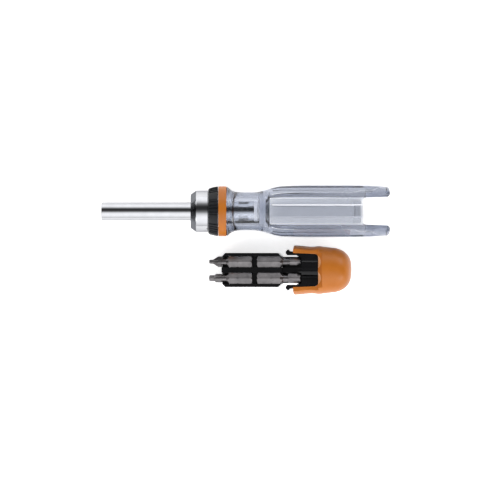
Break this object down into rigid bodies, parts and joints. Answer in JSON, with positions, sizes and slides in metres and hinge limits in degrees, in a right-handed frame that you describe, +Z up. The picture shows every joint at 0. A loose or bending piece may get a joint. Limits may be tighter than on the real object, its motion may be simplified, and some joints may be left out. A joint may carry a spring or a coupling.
{
  "type": "ratcheting screwdriver",
  "caption": "Ratcheting screwdriver with a clear fluted handle, a turning selector ring, and its bit cartridge with an end cap lying beside it.",
  "frame": {"origin": "centre of the bit tube's mouth, on the spindle's axis", "axes": "+X along the driver from the tube's mouth to the handle's fork, +Z up from the surface it lies on"},
  "size_m": [0.1657, 0.0629, 0.0288],
  "materials": {
    "chrome": "polished chrome plate",
    "housing_metal": "machined, bright",
    "hard_steel": "hardened, oiled",
    "bright_steel": "ground",
    "bronze": "sintered",
    "black_plastic": "moulded, satin",
    "orange_plastic": "moulded, satin gloss",
    "clear_plastic": "clear, polished",
    "bit_steel": "dark satin"
  },
  "bodies": {
    "driver": {"nose_cover": "chrome", "front_bush": "bronze", "rear_bush": "bronze", "ratchet_housing": "housing_metal", "pawl_retainer": "hard_steel", "pawl_pins": "bright_steel", "pawl_spring_left": "bright_steel", "pawl_spring_right": "bright_steel", "detent_spring": "bright_steel", "colour_ring": "orange_plastic", "handle": "clear_plastic"},
    "spindle": {"spindle_tube": "chrome", "ratchet_gear": "hard_steel", "bit_magnet": "bright_steel", "spindle_circlip": "hard_steel"},
    "selector": {"selector_ring": "black_plastic", "selector_cam": "bright_steel"},
    "pawl_left": {"pawl_left": "hard_steel"},
    "pawl_right": {"pawl_right": "hard_steel"},
    "detent_ball": {"detent_ball": "bright_steel"},
    "cartridge": {"bit_holder": "black_plastic", "end_cap": "orange_plastic"},
    "bit_phillips_large": {"bit_phillips_large": "bit_steel"},
    "bit_square": {"bit_square": "bit_steel"},
    "bit_hex_small": {"bit_hex_small": "bit_steel"},
    "bit_hex_large": {"bit_hex_large": "bit_steel"},
    "bit_phillips_small": {"bit_phillips_small": "bit_steel"},
    "bit_slotted_narrow": {"bit_slotted_narrow": "bit_steel"},
    "bit_star": {"bit_star": "bit_steel"},
    "bit_slotted_wide": {"bit_slotted_wide": "bit_steel"}
  },
  "joints": [
    {"name": "spindle_spin", "type": "hinge", "parent": "driver", "child": "spindle", "pos_m": [0, 0, 0], "axis": [1, 0, 0], "continuous": true},
    {"name": "selector_turn", "type": "hinge", "parent": "driver", "child": "selector", "pos_m": [0.0643, 0, 0], "axis": [1, 0, 0], "range_deg": [-18, 18]},
    {"name": "pawl_left_rock", "type": "hinge", "parent": "driver", "child": "pawl_left", "pos_m": [0.06305, 0.00847, 0.00074], "axis": [1, 0, 0], "range_deg": [-4.5, 4.5], "deforming": ["pawl_spring_left"]},
    {"name": "pawl_right_rock", "type": "hinge", "parent": "driver", "child": "pawl_right", "pos_m": [0.06305, -0.00847, 0.00074], "axis": [1, 0, 0], "range_deg": [-4.5, 4.5], "deforming": ["pawl_spring_right"]},
    {"name": "detent_ball_press", "type": "slide", "parent": "driver", "child": "detent_ball", "axis": [0, 0, 1], "range_m": [-0.0005, 0], "stiffness_N_per_m": 50, "springref_m": 0.001, "deforming": ["detent_spring"]},
    {"name": "cartridge_slide", "type": "slide", "parent": "driver", "child": "cartridge", "axis": [1, 0, 0], "range_m": [0, 0.105]},
    {"name": "bit_phillips_large_out", "type": "slide", "parent": "cartridge", "child": "bit_phillips_large", "axis": [-0.1201, 0, 0.9928], "range_m": [0, 0.012]},
    {"name": "bit_square_out", "type": "slide", "parent": "cartridge", "child": "bit_square", "axis": [-0.1201, 0, 0.9928], "range_m": [0, 0.012]},
    {"name": "bit_hex_small_out", "type": "slide", "parent": "cartridge", "child": "bit_hex_small", "axis": [-0.1201, 0, 0.9928], "range_m": [0, 0.012]},
    {"name": "bit_hex_large_out", "type": "slide", "parent": "cartridge", "child": "bit_hex_large", "axis": [-0.1201, 0, 0.9928], "range_m": [0, 0.012]},
    {"name": "bit_phillips_small_out", "type": "slide", "parent": "cartridge", "child": "bit_phillips_small", "axis": [0.1201, 0, -0.9928], "range_m": [0, 0.012]},
    {"name": "bit_slotted_narrow_out", "type": "slide", "parent": "cartridge", "child": "bit_slotted_narrow", "axis": [0.1201, 0, -0.9928], "range_m": [0, 0.012]},
    {"name": "bit_star_out", "type": "slide", "parent": "cartridge", "child": "bit_star", "axis": [0.1201, 0, -0.9928], "range_m": [0, 0.012]},
    {"name": "bit_slotted_wide_out", "type": "slide", "parent": "cartridge", "child": "bit_slotted_wide", "axis": [0.1201, 0, -0.9928], "range_m": [0, 0.012]}
  ],
  "couplings": [
    {"joint": "pawl_left_rock", "follows": "selector_turn", "ratio": 0.25},
    {"joint": "pawl_right_rock", "follows": "selector_turn", "ratio": 0.25}
  ]
}
